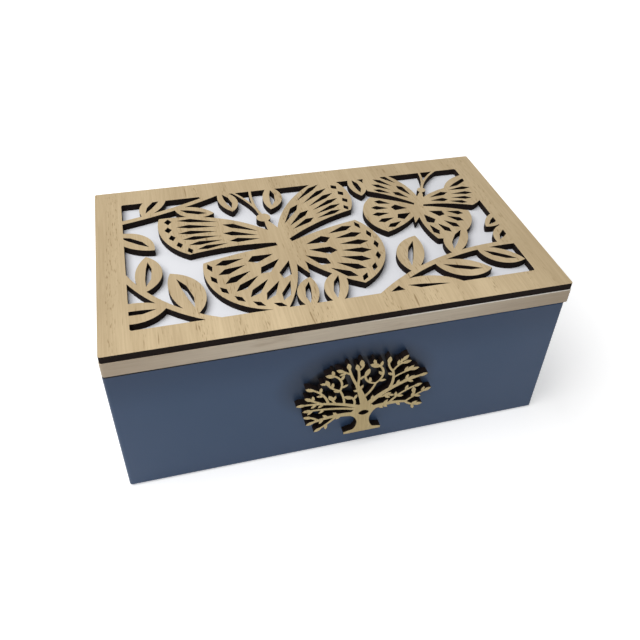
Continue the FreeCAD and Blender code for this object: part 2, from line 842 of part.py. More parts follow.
# One row per limb: its place on the limb that it grows from, its tip as shares of half the tree's width and
# of its height, its bow as a share of its length, its width as a share of the parent's there, the places of
# its side leaves (minus: on its right) and the limbs that grow from it
LIMB_SHARES = [
    (0.66, -0.85, 0.24, -0.10, 0.50, (0.40, 0.70, -0.46, -0.62), [
        (0.46, -0.73, 0.12, 0.03, 0.60, (0.50,), []),
        (0.79, -0.89, 0.36, -0.10, 0.80, (), []),
    ]),
    (0.84, -0.90, 0.44, -0.05, 0.26, (0.66, 0.84), []),
    (0.90, -0.99, 0.53, -0.07, 0.36, (0.62, 0.72), [
        (0.18, -0.31, 0.55, -0.25, 0.60, (-0.42,), []),
        (0.33, -0.38, 0.65, -0.06, 0.60, (0.88,), [
            (0.96, -0.58, 0.81, 0.13, 0.90, (-0.38, 0.74), []),
            (0.96, -0.59, 0.87, -0.28, 0.90, (-0.10, -0.42, -0.74), []),
        ]),
        (0.45, -0.53, 0.60, 0.02, 0.60, (-0.36,), []),
        (0.56, -0.86, 0.74, -0.14, 0.80, (0.36, -0.52), []),
        (0.64, -0.87, 0.62, 0.01, 0.80, (-0.50,), []),
    ]),
    (0.97, -0.13, 0.67, -0.02, 0.66, (0.72, -0.78), [
        (0.40, 0.14, 0.67, -0.08, 0.50, (), [
            (0.96, 0.03, 0.87, 0.31, 0.80, (-0.20,), []),
            (0.96, 0.03, 0.92, -0.37, 0.80, (-0.10, 0.32, -0.66, -0.84), []),
        ]),
        (0.96, -0.28, 0.98, 0.04, 0.70, (), [
            (0.55, -0.44, 0.92, -0.02, 0.80, (0.30,), []),
        ]),
        (0.96, -0.16, 0.95, -0.06, 0.70, (-0.28,), [
            (0.70, -0.10, 1.00, -0.25, 0.80, (), []),
        ]),
    ]),
    (0.97, 0.91, 0.67, 0.09, 0.50, (0.14, 0.54, -0.70), [
        (0.22, 0.39, 0.49, -0.12, 0.40, (-0.52, -0.74), []),
        (0.42, 0.37, 0.79, -0.09, 0.70, (0.74,), [
            (0.61, 0.76, 0.77, 0.07, 0.80, (0.44,), [
                (0.50, 0.68, 0.81, -0.07, 0.80, (), []),
            ]),
            (0.97, 0.31, 0.98, 0.13, 0.80, (), []),
            (0.97, 0.63, 0.88, 0.17, 0.80, (0.36,), [
                (0.55, 0.58, 0.96, 0.28, 0.80, (), []),
            ]),
        ]),
        (0.60, 0.74, 0.66, 0.10, 0.70, (0.36,), []),
    ]),
    (0.80, 0.65, 0.32, 0.08, 0.48, (-0.32, -0.42, -0.74, 0.44), [
        (0.56, 0.85, 0.54, 0.10, 0.70, (0.25, -0.28, 0.55), []),
        (0.95, 0.90, 0.25, -0.14, 0.90, (0.42, -0.46), []),
        (0.96, 1.00, 0.46, 0.04, 0.90, (0.26, -0.36, 0.64), [
            (0.29, 0.72, 0.51, -0.11, 0.80, (), []),
        ]),
    ]),
]
LIMB_TAPER_SHARE = 0.45
END_LEAF_CORNER_SHARES = (0.22, 0.5, 0.78)
SIDE_LEAF_CORNER_SHARES = (0.3, 0.7)
SIDE_LEAF_SHARE = 0.80
LEAF_LEAN_DEGREES = 48
STALK_SHARE = 0.7
FORK_PLACE_SHARE = 0.9
CROTCH_SHARES = (0.01, 0.37)
FOOT_SHARE = 0.28
TOE_SHARE = 0.03
HEEL_SHARES = (0.15, 0.05)
LEFT_ARM_SHARES = (0.24, 0.27)
RIGHT_ARM_SHARES = (0.20, 0.313)
CROWN_SHARES = (0.07, 0.40)
HOLLOW_SHARE = 0.275


class Tree:
    """Collects the wood of the tree, about the middle of its foot."""

    def __init__(self):
        self.half_width = size("tree_width") / 2
        self.height = size("tree_height")
        self.twig = size("twig_width")
        self.wood = []

    def place(self, across_share, up_share):
        return Vector(across_share * self.half_width, up_share * self.height)

    def add_leaf(self, base, tip, corner_shares):
        """A pointed leaf, as slim as the full-sized one at a limb's end."""
        path = Bow(base, tip)
        width = size("leaf_width") / size("leaf_length") * path.length
        self.wood.append(small_leaf(path, width, corner_shares))

    def add_side_leaf(self, limb, signed_place):
        """A leaf that leans away from a limb, to the left for a place above 0, else to the right."""
        place = abs(signed_place)
        lean = math.copysign(LEAF_LEAN_DEGREES, signed_place)
        base = limb.point(place)
        way = turned_way(limb.direction(place), lean)
        tip = base + way * (SIDE_LEAF_SHARE * size("leaf_length"))
        self.add_leaf(base, tip, SIDE_LEAF_CORNER_SHARES)

    def add_limb(self, parent, width_at, row):
        """A bowed limb that tapers to a leaf or a fork, with its side leaves and its own limbs."""
        place, across, up, bow, width_share, leaf_places, branches = row
        start = parent.point(place)
        tip = self.place(across, up)
        limb = bowed(start, tip, bow)
        root_width = max(self.twig, width_share * width_at(place))
        tip_width = max(self.twig, LIMB_TAPER_SHARE * root_width)
        leaf_share = min(1, size("leaf_length") / limb.length)
        if any(branch_place > FORK_PLACE_SHARE for branch_place, *_ in branches):
            self.wood.append(band(limb, root_width, tip_width))
        else:
            self.wood.append(band(limb.first_part(1 - STALK_SHARE * leaf_share), root_width, tip_width))
            self.add_leaf(limb.point(1 - leaf_share), tip, END_LEAF_CORNER_SHARES)
        for leaf_place in leaf_places:
            self.add_side_leaf(limb, leaf_place)
        for branch in branches:
            self.add_limb(limb, lambda share: root_width + (tip_width - root_width) * share, branch)

    def trunk_side(self, side, arm_shares):
        """Toe, top of the toe, heel, waist, arm and crown of one side of the trunk (1 is right)."""
        shares = [(FOOT_SHARE, 0), (FOOT_SHARE, TOE_SHARE), HEEL_SHARES, arm_shares, CROWN_SHARES]
        toe, top, heel, arm, crown = (self.place(side * across, up) for across, up in shares)
        waist = Vector(side * size("trunk_width") / 2, (heel.y + arm.y) / 2)
        return toe, top, heel, waist, arm, crown

    def add_trunk(self):
        """Trunk on a flat foot; each side is one hollow arc from the foot to the lowest limb."""
        toe, top, heel, waist, arm, crown = self.trunk_side(1, RIGHT_ARM_SHARES)
        right = [line(toe, top), line(top, heel), through(heel, waist, arm), line(arm, crown)]
        far_toe, top, heel, waist, arm, far_crown = self.trunk_side(-1, LEFT_ARM_SHARES)
        left = [line(far_crown, arm), through(arm, waist, heel), line(heel, top), line(top, far_toe)]
        self.wood.append(face_of(*right, line(crown, far_crown), *left, line(far_toe, toe)))

    def outline(self):
        """The tree's flat outline, with a hollow in the trunk below the fork."""
        half = size("hollow_width") / 2
        up = HOLLOW_SHARE * self.height
        hollow = lens(Bow(Vector(-half, up), Vector(half, up)), size("hollow_height"))
        return without_pinholes(joined(self.wood).cut(hollow), self.twig)


def make_tree_ornament():
    tree = Tree()
    tree.add_trunk()
    trunk = Bow(Vector(), tree.place(*CROTCH_SHARES))
    for row in LIMB_SHARES:
        tree.add_limb(trunk, lambda share: size("trunk_width"), row)
    ornament = cut_out("tree_ornament", tree.outline(), "sizes.tree_thickness")
    ornament.Placement = Placement(Vector(), Rotation(Vector(1, 0, 0), 90))
    bind(
        ornament,
        Placement__Base__x="sizes.tree_side_step",
        Placement__Base__y=f"-{FACE}",
        Placement__Base__z="sizes.tree_foot_height",
    )
    return ornament


pieces = make_case() + make_lid_frame() + make_hinges()
pieces += [make_fretwork_panel(), make_tree_ornament()]
doc.recompute()

for item in doc.Objects:
    if "Invalid" in item.State or "Error" in item.State:
        raise RuntimeError(f"{item.Label} failed: {item.State}")
for piece in pieces:
    if piece.Shape.isNull() or not piece.Shape.isValid():
        raise RuntimeError(f"{piece.Label} has no valid shape")

os.makedirs("parts", exist_ok=True)
for piece in pieces:
    piece.Shape.exportStep(os.path.join("parts", f"{piece.Label}.step"))
    print(piece.Label, len(piece.Shape.Solids), "solids", round(piece.Shape.Volume), "mm3")
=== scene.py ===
# %% [markdown]
# # A hinged keepsake box
# The box is a small wooden case with a lid on two brass hinges. Its case is painted slate blue, the lid has
# rails of bare wood round a white board, and a thin sheet with cut-out butterflies and leaves lies on top.
# The shapes come ready from the CAD model, so this lesson is about finishes, light and a few small pieces.
# Loading the model first fixes the frame: every later piece takes its place from it, in metres.

import bmesh
import bpy
import numpy as np
from mathutils import Euler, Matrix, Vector


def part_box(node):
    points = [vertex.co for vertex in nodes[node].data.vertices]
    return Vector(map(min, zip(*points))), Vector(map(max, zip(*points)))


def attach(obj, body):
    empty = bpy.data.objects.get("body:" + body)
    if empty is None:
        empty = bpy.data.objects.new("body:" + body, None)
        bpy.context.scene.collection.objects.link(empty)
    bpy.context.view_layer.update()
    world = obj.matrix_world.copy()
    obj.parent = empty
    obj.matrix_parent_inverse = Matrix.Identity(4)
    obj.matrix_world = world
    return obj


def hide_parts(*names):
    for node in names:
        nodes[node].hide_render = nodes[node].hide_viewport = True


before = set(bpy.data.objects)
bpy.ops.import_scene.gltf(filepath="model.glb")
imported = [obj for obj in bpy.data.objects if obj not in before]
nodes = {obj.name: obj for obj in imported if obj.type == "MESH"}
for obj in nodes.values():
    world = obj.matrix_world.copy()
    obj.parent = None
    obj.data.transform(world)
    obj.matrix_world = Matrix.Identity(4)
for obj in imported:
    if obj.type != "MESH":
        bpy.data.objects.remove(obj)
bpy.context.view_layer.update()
MM = 0.001

# %% [markdown]
# ## The camera
# The photograph looks down on the front of the box from the left. A camera could be placed by eye, but the
# corners of a box fix its place, turn and focal length, so these values were fitted to the corners. The
# picture's middle isn't the lens's, and a small lens shift stands for that.

# %% Set up the camera
PICTURE_SIDE = 640
FOCAL_PIXELS = 680.63
CENTRE_PIXEL = (335.02, 295.46)
CAMERA_PLACE = (-0.0820, -0.3025, 0.3202)
CAMERA_TURN = (49.755, -2.185, -15.404)
NEAREST_SEEN = 10 * MM

lens = bpy.data.cameras.new("camera")
lens.lens = FOCAL_PIXELS / PICTURE_SIDE * lens.sensor_width
lens.shift_x = 0.5 - CENTRE_PIXEL[0] / PICTURE_SIDE
lens.shift_y = CENTRE_PIXEL[1] / PICTURE_SIDE - 0.5
lens.clip_start = NEAREST_SEEN
camera = bpy.data.objects.new("camera", lens)
camera.location = CAMERA_PLACE
camera.rotation_euler = Euler(np.radians(CAMERA_TURN))
bpy.context.scene.collection.objects.link(camera)
bpy.context.scene.camera = camera
bpy.context.scene.view_settings.view_transform = "Standard"
print(f"camera: {lens.lens:.1f} mm lens")

# %% [markdown]
# ## Short words for shader nodes
# A procedural finish is a small net of nodes. Adding each one by hand takes four or five lines, which hides
# the idea, so these helpers make a node, set it and join it in one line. They work alike in a material and
# in a node group.


# %% Helpers for single nodes
def add(tree, kind, inputs, **settings):
    """Adds one node, sets its options, and gives each input a value or a link."""
    made = tree.nodes.new(kind)
    for name, value in settings.items():
        setattr(made, name, value)
    for name, value in inputs.items():
        if isinstance(value, bpy.types.NodeSocket):
            tree.links.new(value, made.inputs[name])
        else:
            made.inputs[name].default_value = value
    return made


def maths(tree, operation, *values):
    """One sum on numbers, such as MULTIPLY or LESS_THAN."""
    return add(tree, "ShaderNodeMath", dict(enumerate(values)), operation=operation).outputs[0]


def mixed(tree, share, first, second):
    """The first colour, going over to the second as the share goes from 0 to 1."""
    return add(tree, "ShaderNodeMix", {0: share, 6: first, 7: second}, data_type="RGBA").outputs[2]


def stretched(tree, value, low, high, to_low=0.0, to_high=1.0):
    """The value moved smoothly from the range low..high to the range to_low..to_high."""
    inputs = {0: value, 1: low, 2: high, 3: to_low, 4: to_high}
    return add(tree, "ShaderNodeMapRange", inputs, interpolation_type="SMOOTHSTEP").outputs[0]


def noise(tree, place, per_metre, detail):
    """Soft noise with so many blotches in a metre along X, Y and Z, from 0 to 1."""
    scaled = add(tree, "ShaderNodeVectorMath", {0: place, 1: per_metre}, operation="MULTIPLY").outputs[0]
    return add(tree, "ShaderNodeTexNoise", {"Vector": scaled, "Scale": 1.0, "Detail": detail}).outputs[0]


print("node helpers:", ", ".join(helper.__name__ for helper in (add, maths, mixed, stretched, noise)))


# %% Helper for node groups
def new_group(name, inputs, outputs):
    """An empty shader node group with the named sockets, and its two end nodes."""
    tree = bpy.data.node_groups.new(name, "ShaderNodeTree")
    kinds = {"f": "NodeSocketFloat", "c": "NodeSocketColor", "v": "NodeSocketVector"}
    for socket, kind in inputs.items():
        tree.interface.new_socket(socket, in_out="INPUT", socket_type=kinds[kind])
    for socket, kind in outputs.items():
        tree.interface.new_socket(socket, in_out="OUTPUT", socket_type=kinds[kind])
    return tree, tree.nodes.new("NodeGroupInput").outputs, tree.nodes.new("NodeGroupOutput").inputs


print("group helper:", new_group.__name__)

# %% [markdown]
# ## Wood grain
# Bare wood has three things to see at this size: broad pale and dark bands, fine fibres, and dark pores
# along the grain. Most pores are short and lie in narrow streaks, and a few open into long thin lines.
# An image could show them, but noise that is stretched along the grain gives all of it at any size. The
# rails, the cut sheet and the boards all use it, so it is one node group.

# %% Wood grain group
BANDS_PER_METRE = (5, 70, 70)
FIBRES_PER_METRE = (40, 1300, 1300)
STREAKS_PER_METRE = (6, 130, 130)
SHORT_PORES_PER_METRE = (210, 1500, 1500)
LONG_PORES_PER_METRE = (55, 520, 520)
WOOD_ROUGHNESS = 0.50, 0.66


def wood_grain_group():
    """Bands, fibres and pores from noise stretched along X, as colour, roughness and height."""
    tree, given, out = new_group(
        "wood_grain",
        {"Place": "v", "Light": "c", "Dark": "c", "Bands": "f", "Fibres": "f", "Pores": "f"},
        {"Colour": "c", "Roughness": "f", "Height": "f"})
    place = given["Place"]
    bands = noise(tree, place, BANDS_PER_METRE, 3.0)
    fibres = noise(tree, place, FIBRES_PER_METRE, 2.0)
    streaks = stretched(tree, noise(tree, place, STREAKS_PER_METRE, 1.0), 0.50, 0.64, 0.10, 1.0)
    short_pores = stretched(tree, noise(tree, place, SHORT_PORES_PER_METRE, 1.0), 0.56, 0.72)
    long_pores = stretched(tree, noise(tree, place, LONG_PORES_PER_METRE, 1.0), 0.69, 0.78)
    pores = maths(tree, "MAXIMUM", maths(tree, "MULTIPLY", short_pores, streaks), long_pores)
    band_part = maths(tree, "MULTIPLY", stretched(tree, bands, 0.30, 0.72), given["Bands"])
    fibre_part = maths(tree, "MULTIPLY", stretched(tree, fibres, 0.25, 0.75), given["Fibres"])
    pore_part = maths(tree, "MULTIPLY", pores, given["Pores"])
    shade = maths(tree, "ADD", maths(tree, "ADD", band_part, fibre_part), pore_part)
    tree.links.new(mixed(tree, shade, given["Light"], given["Dark"]), out["Colour"])
    tree.links.new(stretched(tree, fibres, 0.2, 0.8, *WOOD_ROUGHNESS), out["Roughness"])
    tree.links.new(maths(tree, "SUBTRACT", fibre_part, pore_part), out["Height"])
    return tree


WOOD_GRAIN = wood_grain_group()
print("group:", WOOD_GRAIN.name)

# %% [markdown]
# ## A coat of paint
# The case is painted blue and the board white, as with a roller or a spray gun. Such a coat is never quite
# even: it is cloudy over a few centimetres and slightly pebbled close up. One flat colour would look like
# plastic, so noise makes both. The two pieces need it with their own colours, so this too is a group.

# %% Paint group
CLOUDS_PER_METRE = (22, 22, 30)
PEBBLES_PER_METRE = (900, 900, 900)


def paint_group():
    """A cloudy colour, a roughness that follows the clouds, and a fine pebbled height."""
    tree, given, out = new_group(
        "paint_coat",
        {"Place": "v", "Thin": "c", "Thick": "c", "Smooth": "f", "Rough": "f"},
        {"Colour": "c", "Roughness": "f", "Height": "f"})
    clouds = stretched(tree, noise(tree, given["Place"], CLOUDS_PER_METRE, 3.0), 0.30, 0.70)
    rough = add(tree, "ShaderNodeMapRange", {0: clouds, 3: given["Smooth"], 4: given["Rough"]}).outputs[0]
    tree.links.new(mixed(tree, clouds, given["Thin"], given["Thick"]), out["Colour"])
    tree.links.new(rough, out["Roughness"])
    tree.links.new(noise(tree, given["Place"], PEBBLES_PER_METRE, 2.0), out["Height"])
    return tree


PAINT_COAT = paint_group()
print("group:", PAINT_COAT.name)

# %% [markdown]
# ## Scorched cut sides
# The cut sides of the lid's panel and of the tree are almost black, as a hot beam leaves them, while the
# broad faces stay pale. One material can carry both, because on a flat sheet the face's own direction tells
# them apart: the group takes the part of the normal that points out of the sheet. Colours are written as a
# picture program shows them, so a helper turns them into the light values that shaders use.


# %% Colours
def srgb(red, green, blue):
    """Each channel from 0 to 255 as light: a straight line near black, and a power of 2.4 above it."""
    shown = np.array([red, green, blue]) / 255
    light = np.where(shown <= 0.04045, shown / 12.92, ((shown + 0.055) / 1.055) ** 2.4)
    return (*light.tolist(), 1.0)


print("middle grey as light:", round(srgb(128, 128, 128)[0], 3))

# %% Scorched side group
SOOT_BLACK, SOOT_BROWN, SOOT_GREY = srgb(17, 10, 8), srgb(29, 20, 17), srgb(34, 25, 23)
SOOT_SPECKS_PER_METRE = (700, 700, 700)
SOOT_PATCHES_PER_METRE = (60, 60, 60)
SIDE_FACING = 0.75, 0.35


def scorched_group():
    """How far a face is a cut side, from its normal, and the speckled dark colour that it has there."""
    tree, given, out = new_group(
        "scorched_side",
        {"Place": "v", "Outward": "f"},
        {"Side": "f", "Colour": "c"})
    facing = maths(tree, "ABSOLUTE", given["Outward"])
    specks = noise(tree, given["Place"], SOOT_SPECKS_PER_METRE, 2.0)
    patches = noise(tree, given["Place"], SOOT_PATCHES_PER_METRE, 2.0)
    soot = mixed(tree, stretched(tree, specks, 0.3, 0.7), SOOT_BLACK, SOOT_BROWN)
    soot = mixed(tree, stretched(tree, patches, 0.45, 0.75, 0.0, 0.6), soot, SOOT_GREY)
    tree.links.new(stretched(tree, facing, *SIDE_FACING), out["Side"])
    tree.links.new(soot, out["Colour"])
    return tree


SCORCHED_SIDE = scorched_group()
print("group:", SCORCHED_SIDE.name)

# %% [markdown]
# ## Materials from groups
# A material places the groups that it needs, mixes what they put out and joins it to its own shader. The
# grain group runs along X, so a material turns the coordinates until X lies along its board. These helpers
# are the steps that all the materials share.


# %% Helpers for materials
def new_material(name):
    """A material with an empty net, its Principled shader and the object's own coordinates."""
    material = bpy.data.materials.new(name)
    material.use_nodes = True
    tree = material.node_tree
    return material, tree, tree.nodes["Principled BSDF"], tree.nodes.new("ShaderNodeTexCoord").outputs


def use(tree, group, **inputs):
    """Places a node group in a material and gives back its outputs."""
    return add(tree, "ShaderNodeGroup", inputs, node_tree=group).outputs


def turned(tree, place, turn, slide=0.0):
    """Object coordinates turned so that the wood's grain runs along X, and slid across it."""
    inputs = {"Vector": place, "Rotation": np.radians(turn), "Location": (0, slide, 0)}
    return add(tree, "ShaderNodeMapping", inputs).outputs[0]


def finish_surface(tree, shader, colour, roughness, height, depth):
    """Joins colour, roughness and a bump of the given depth in metres to the shader."""
    tree.links.new(colour, shader.inputs["Base Color"])
    tree.links.new(roughness, shader.inputs["Roughness"])
    bump = add(tree, "ShaderNodeBump", {"Strength": 1.0, "Distance": depth, "Height": height})
    tree.links.new(bump.outputs[0], shader.inputs["Normal"])


def dress(names, material):
    """Gives the named CAD nodes one material."""
    for name in names:
        nodes[name].data.materials.clear()
        nodes[name].data.materials.append(material)


print("material helpers:", ", ".join(helper.__name__ for helper in (new_material, use, turned, dress)))

# %% [markdown]
# ## The cut-out sheets
# The lid's panel and the tree on the front are of the same pale veneered sheet. The grain of the panel runs
# from front to back, that of the tree upright, and painted light makes the panel paler along the middle of
# its front edge.
# A function makes both materials: it turns the grain, picks the axis that points out of the sheet and lays
# the scorched sides over the wood. Sliding the veneer brings a streak of pores on to the left border.

# %% Cut-out sheet materials
# painted light: where and how strongly the panel's front edge is made paler
PAINTED_LIGHT_DEPTH = -30 * MM, -62 * MM
PAINTED_LIGHT_LENGTH = 120 * MM, 85 * MM
PAINTED_LIGHT_AT_ENDS = 0.35
PANEL_SLIDE = 62 * MM
VENEER_GRAIN = {"Bands": 0.24, "Fibres": 0.18, "Pores": 0.58}
VENEER_RELIEF = 0.05 * MM
VENEER_SHINE = 0.15
SOOT_ROUGHNESS = 0.9


def painted_front_light(tree, place):
    """How much painted light a point gets at the front edge: a ramp along the depth, less at both ends of the
    length.
    """
    parts = add(tree, "ShaderNodeSeparateXYZ", {0: place}).outputs
    along = stretched(tree, maths(tree, "ABSOLUTE", parts["X"]), *PAINTED_LIGHT_LENGTH, PAINTED_LIGHT_AT_ENDS, 1.0)
    return maths(tree, "MULTIPLY", stretched(tree, parts["Y"], *PAINTED_LIGHT_DEPTH), along)


def cut_sheet(name, turn, outward, light, dark, painted_light_colour=None, slide=0.0):
    """Veneer with its grain turned, with painted light at the front where its colour is given, and sooty cut
    sides.
    """
    material, tree, shader, coordinates = new_material(name)
    # painted light along the front edge
    if painted_light_colour:
        light = mixed(tree, painted_front_light(tree, coordinates["Object"]), light, painted_light_colour)
    wood = use(tree, WOOD_GRAIN, Place=turned(tree, coordinates["Object"], turn, slide),
               Light=light, Dark=dark, **VENEER_GRAIN)
    parts = add(tree, "ShaderNodeSeparateXYZ", {0: coordinates["Normal"]}).outputs
    scorch = use(tree, SCORCHED_SIDE, Place=coordinates["Object"], Outward=parts[outward])
    colour = mixed(tree, scorch["Side"], wood["Colour"], scorch["Colour"])
    side_rough = maths(tree, "MULTIPLY", scorch["Side"], SOOT_ROUGHNESS)
    rough = maths(tree, "MAXIMUM", wood["Roughness"], side_rough)
    finish_surface(tree, shader, colour, rough, wood["Height"], VENEER_RELIEF)
    shader.inputs["Specular IOR Level"].default_value = VENEER_SHINE
    return material


# the panel gets a paler colour of painted light along its front edge
panel_veneer = cut_sheet("panel_veneer", (0, 0, 90), "Z", light=srgb(204, 183, 147), dark=srgb(144, 119, 82),
                         painted_light_colour=srgb(220, 198, 160), slide=PANEL_SLIDE)
tree_veneer = cut_sheet("tree_veneer", (0, 90, 0), "Y", light=srgb(225, 204, 154), dark=srgb(158, 131, 88))
dress(["fretwork_panel"], panel_veneer)
dress(["tree_ornament"], tree_veneer)
print("cut sheets:", panel_veneer.name, tree_veneer.name)

# %% [markdown]
# ## The painted case
# The four walls are blue outside. The inside doesn't show in the photograph: here the paint goes over the
# rim and stops at the inner faces, which are bare wood. The faces could be sorted by hand into two
# materials, but the place of a point already tells which it has: inside the case's hollow it is wood.
# The blue is darker up at the rim, the seam under the lid is almost black at the left, and the ground behind
# the tree's twigs is the darkest, most of all up and to the left. All three are painted shade that the lamps
# here don't give: ramps along the height and the length paint the shade at the rim and the shadow in the
# seam, and two soft ellipses on the front paint the shade behind the tree.

# %% Places on the case
# The crown's middle and radii place the painted shade behind the tree.
CROWN_HEIGHT_SHARE = 0.60
CROWN_RADIUS_SHARES = (0.48, 0.40)

case_end, rim_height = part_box("front_wall")[1].x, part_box("front_wall")[1].z
case_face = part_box("back_wall")[1].y
hollow_end, hollow_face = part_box("right_wall")[0].x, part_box("back_wall")[0].y
tree_low, tree_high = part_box("tree_ornament")
crown_height = (1 - CROWN_HEIGHT_SHARE) * tree_low.z + CROWN_HEIGHT_SHARE * tree_high.z
crown_middle = np.array([(tree_low.x + tree_high.x) / 2, crown_height])
crown_radii = np.array(CROWN_RADIUS_SHARES) * (tree_high.x - tree_low.x, tree_high.z - tree_low.z)
print("hollow within", round(hollow_end / MM), "and", round(hollow_face / MM), "mm of the middle")

# %% Masks on the case
PAINT_EDGE = 0.2 * MM


def within(tree, place, half_x, half_y):
    """1 where a point lies within half_x of the middle along X and within half_y along Y, else 0."""
    in_x = maths(tree, "LESS_THAN", maths(tree, "ABSOLUTE", place["X"]), half_x)
    in_y = maths(tree, "LESS_THAN", maths(tree, "ABSOLUTE", place["Y"]), half_y)
    return maths(tree, "MULTIPLY", in_x, in_y)


def front_ellipse(tree, place, middle, radii, inner, outer):
    """1 inside an ellipse on the front, fading to 0 between the inner and outer shares of its radii."""
    across = maths(tree, "DIVIDE", maths(tree, "SUBTRACT", place["X"], middle[0]), radii[0])
    up = maths(tree, "DIVIDE", maths(tree, "SUBTRACT", place["Z"], middle[1]), radii[1])
    square = maths(tree, "ADD", maths(tree, "MULTIPLY", across, across), maths(tree, "MULTIPLY", up, up))
    on_front = maths(tree, "LESS_THAN", place["Y"], PAINT_EDGE - case_face)
    return maths(tree, "MULTIPLY", stretched(tree, square, outer**2, inner**2), on_front)


print("masks:", within.__name__, front_ellipse.__name__)

# %% Case paint and shade group
EASED_EDGE = 0.45 * MM
RIM_SHADE_REACH = 30 * MM
SEAM_SHADOW_FADE = 10 * MM, 75 * MM
SEAM_SHADOW_SHARES = 1.0, 0.1
SHADOW_HALO_STEP = -4 * MM, 4 * MM
SHADOW_HALO_EDGE, TWIG_SHADE_EDGE = (0.8, 1.3), (0.85, 1.05)
SHADOW_HALO_SHARE, TWIG_SHADE_SHARE = 0.5, 0.95
# colours of the painted shade at the rim, the painted shadow in the seam and the painted shade behind the
# twigs
RIM_SHADE_BLUE, SEAM_SHADOW_BLACK, TWIG_SHADE_BLACK = srgb(44, 65, 95), srgb(14, 16, 24), srgb(14, 13, 17)


def case_paint_and_shade_group():
    """The walls' paint with painted shade at the rim, a painted shadow in the seam and painted shade behind
    the twigs, and the bare inside.
    """
    tree, given, out = new_group("case_paint_and_shade", {"Place": "v", "Paint": "c"}, {"Colour": "c", "Bare": "f"})
    place = add(tree, "ShaderNodeSeparateXYZ", {0: given["Place"]}).outputs
    # painted shade: the blue goes darker over the last few centimetres up to the rim
    shade_near_rim = stretched(tree, place["Z"], rim_height - RIM_SHADE_REACH, rim_height)
    # painted shadow: a near-black line on the eased top edge under the lid, strongest at the left
    at_top = maths(tree, "GREATER_THAN", place["Z"], rim_height - EASED_EDGE)
    on_rim = within(tree, place, case_end - EASED_EDGE, case_face - EASED_EDGE)
    seam_shadow = maths(tree, "MULTIPLY", maths(tree, "SUBTRACT", at_top, on_rim),
                    stretched(tree, place["X"], *SEAM_SHADOW_FADE, *SEAM_SHADOW_SHARES))
    # painted shade behind the twigs, and a softer painted shadow spreading up and to the left of the crown
    shadow_halo = front_ellipse(tree, place, crown_middle + SHADOW_HALO_STEP, crown_radii, *SHADOW_HALO_EDGE)
    twig_shade = front_ellipse(tree, place, crown_middle, crown_radii, *TWIG_SHADE_EDGE)
    shade_behind_twigs = maths(tree, "MAXIMUM", maths(tree, "MULTIPLY", shadow_halo, SHADOW_HALO_SHARE),
                         maths(tree, "MULTIPLY", twig_shade, TWIG_SHADE_SHARE))
    blue = mixed(tree, shade_near_rim, given["Paint"], RIM_SHADE_BLUE)
    blue = mixed(tree, maths(tree, "MAXIMUM", seam_shadow, 0.0), blue, SEAM_SHADOW_BLACK)
    tree.links.new(mixed(tree, shade_behind_twigs, blue, TWIG_SHADE_BLACK), out["Colour"])
    tree.links.new(within(tree, place, hollow_end + PAINT_EDGE, hollow_face + PAINT_EDGE), out["Bare"])
    return tree


CASE_PAINT_AND_SHADE = case_paint_and_shade_group()
print("group:", CASE_PAINT_AND_SHADE.name)

# %% [markdown]
# The grain inside runs along each wall, so the long and the short walls get one material each. Both take the
# paint and its painted shade from the groups, and the wood shows only where the case group says that the wall
# is bare.

# %% Painted wall materials
BOARD_LIGHT, BOARD_DARK = srgb(206, 184, 148), srgb(150, 124, 90)
BOARD_GRAIN = {"Bands": 0.4, "Fibres": 0.3, "Pores": 0.3}
PAINT_THIN, PAINT_THICK = srgb(54, 77, 109), srgb(57, 79, 109)
PAINT_RELIEF = 0.02 * MM
BARE_ROUGHNESS = 0.62
SATIN_SHINE = 0.3


def painted_wall(name, turn):
    """Blue paint outside and over the rim, and bare wood with its grain turned along the wall inside."""
    material, tree, shader, coordinates = new_material(name)
    paint = use(tree, PAINT_COAT, Place=coordinates["Object"],
                Thin=PAINT_THIN, Thick=PAINT_THICK, Smooth=0.38, Rough=0.48)
    paint_and_shade = use(tree, CASE_PAINT_AND_SHADE, Place=coordinates["Object"], Paint=paint["Colour"])
    wood = use(tree, WOOD_GRAIN, Place=turned(tree, coordinates["Object"], turn),
               Light=BOARD_LIGHT, Dark=BOARD_DARK, **BOARD_GRAIN)
    colour = mixed(tree, paint_and_shade["Bare"], paint_and_shade["Colour"], wood["Colour"])
    bare_rough = maths(tree, "MULTIPLY", paint_and_shade["Bare"], BARE_ROUGHNESS)
    rough = maths(tree, "MAXIMUM", paint["Roughness"], bare_rough)
    finish_surface(tree, shader, colour, rough, paint["Height"], PAINT_RELIEF)
    shader.inputs["Specular IOR Level"].default_value = SATIN_SHINE
    return material


dress(["front_wall", "back_wall"], painted_wall("long_wall_paint", (0, 0, 0)))
dress(["left_wall", "right_wall"], painted_wall("short_wall_paint", (0, 0, 90)))
print("blue paint on 4 walls")

# %% [markdown]
# ## The lid's rails and the plain bottom
# The rails are bare wood, greyer than the veneer, with hardly any figure but a few brown smudges. They are
# browner at both ends, and a painted highlight lays a pale line along their upper edge, most at the right.
# The grain runs along each rail, so the long and the short rails need one material each, with the smudges,
# the browner ends and the painted highlight in a group. The bottom is a plain thin board, and a handful of
# values tells it from the rails.

# %% Rail marks and highlight group
# where the painted highlight fades in along the rail
HIGHLIGHT_FADE = -20 * MM, 50 * MM
BROWNER_ENDS = 45 * MM, 121 * MM
SMUDGES_PER_METRE = (26, 26, 150)
SPOT_SHARE, END_SHARE = 0.5, 0.45
# the brown of the smudges and the ends, and the colour of the painted highlight
RAIL_BROWN, PAINTED_HIGHLIGHT = srgb(160, 137, 110), srgb(238, 233, 224)
rail_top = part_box("lid_front_rail")[1].z


